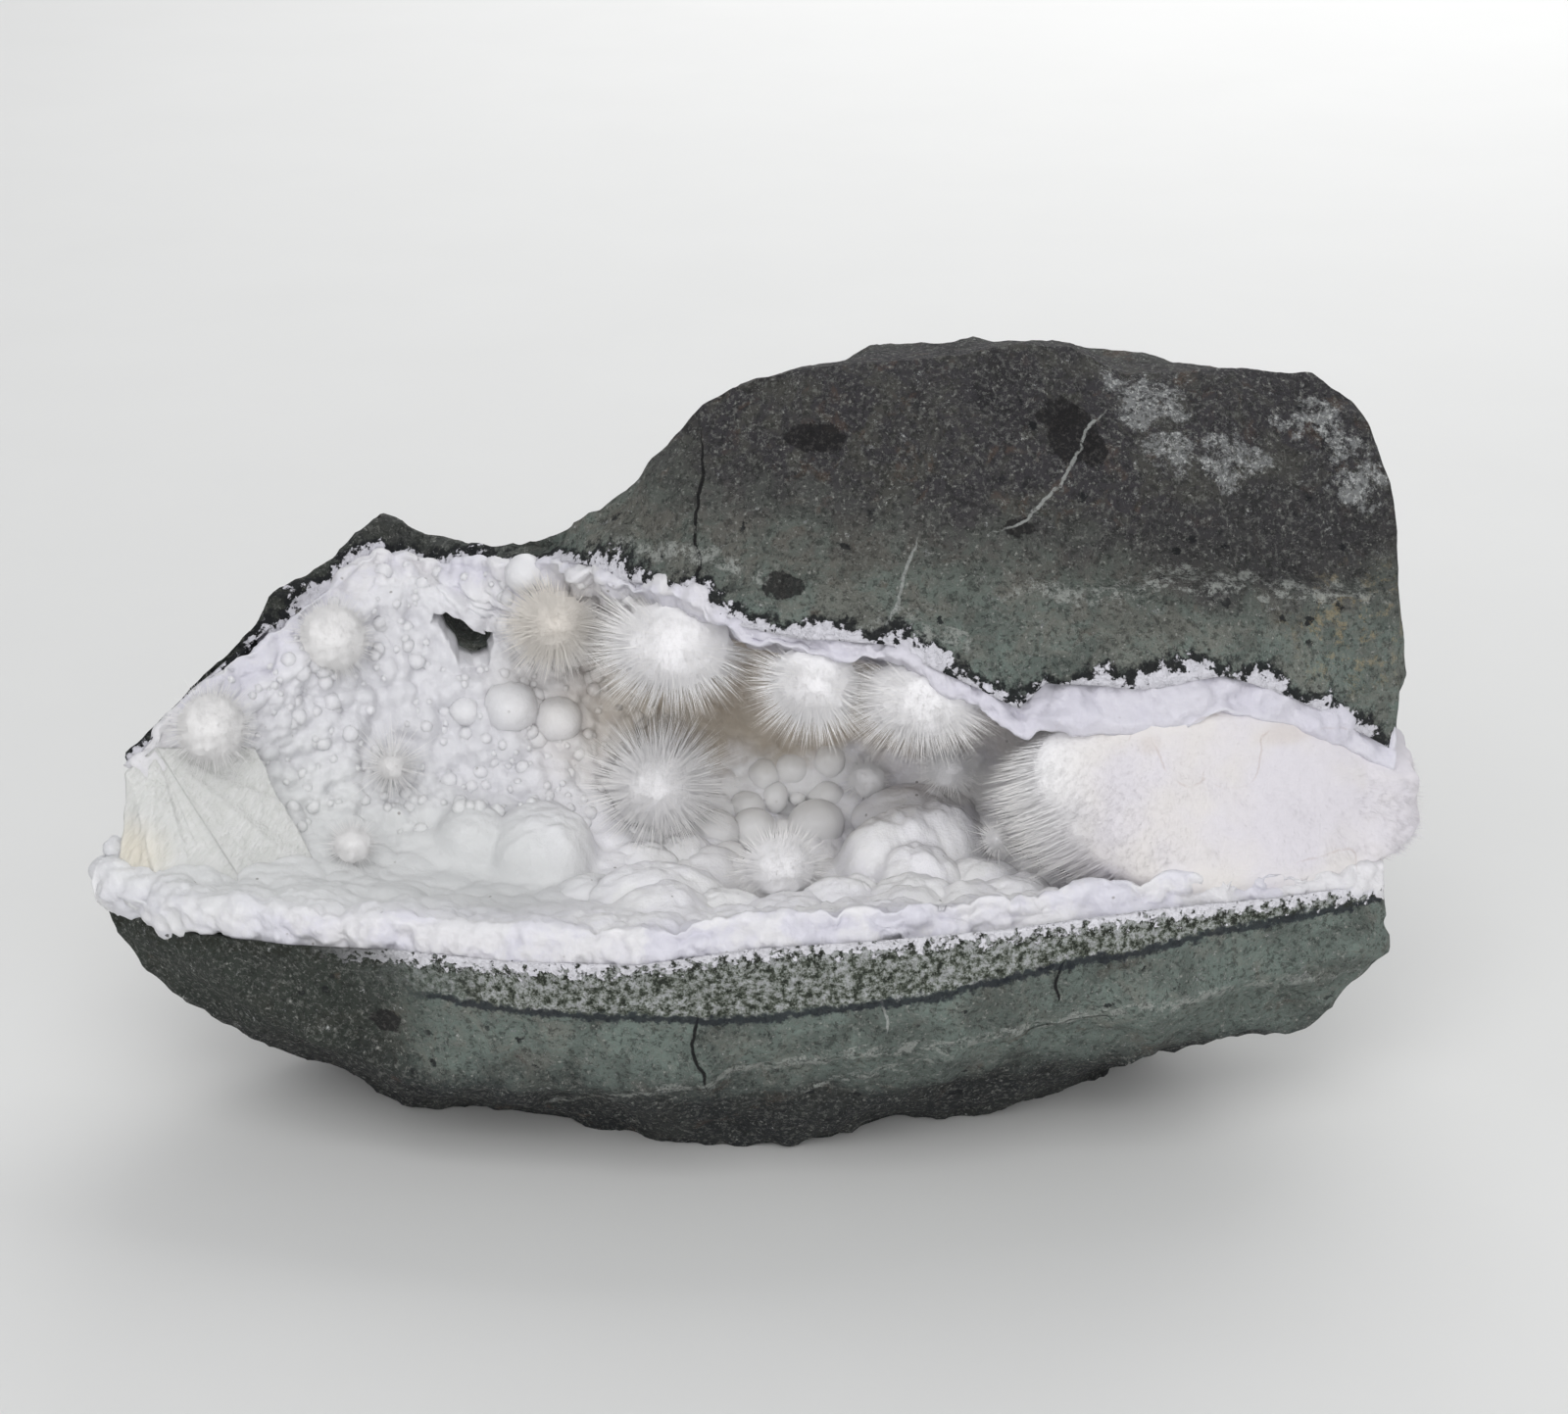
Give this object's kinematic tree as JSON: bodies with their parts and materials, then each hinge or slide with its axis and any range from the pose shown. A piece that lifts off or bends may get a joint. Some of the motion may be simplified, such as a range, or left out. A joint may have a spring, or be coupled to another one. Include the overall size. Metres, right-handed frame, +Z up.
{
  "type": "okenite puffball specimen on basalt",
  "caption": "Mineral specimen: white okenite puffballs of radiating needles in a crust-lined hollow of a broken basalt fragment, resting on a flat base.",
  "frame": {"origin": "on the resting surface under the middle of the specimen", "axes": "+X to the right along the length, +Y away from the open side of the hollow, +Z up"},
  "size_m": [0.1528, 0.0765, 0.0871],
  "materials": {
    "basalt": "rough broken grey-green rock",
    "crust": "white lumpy mineral crust, satin",
    "okenite": "fine silky needles"
  },
  "bodies": {
    "root": {"basalt": "basalt", "crust": "crust", "puffball_left": "okenite", "puffball_upper_left": "okenite", "puffballs_roof": "okenite", "puffball_centre": "okenite", "puffball_front": "okenite", "puffball_floor": "okenite", "puffball_wall": "okenite", "puffball_grey": "okenite", "puffball_ledge": "okenite", "puffball_tuft": "okenite", "puffball_great": "okenite"}
  },
  "joints": []
}
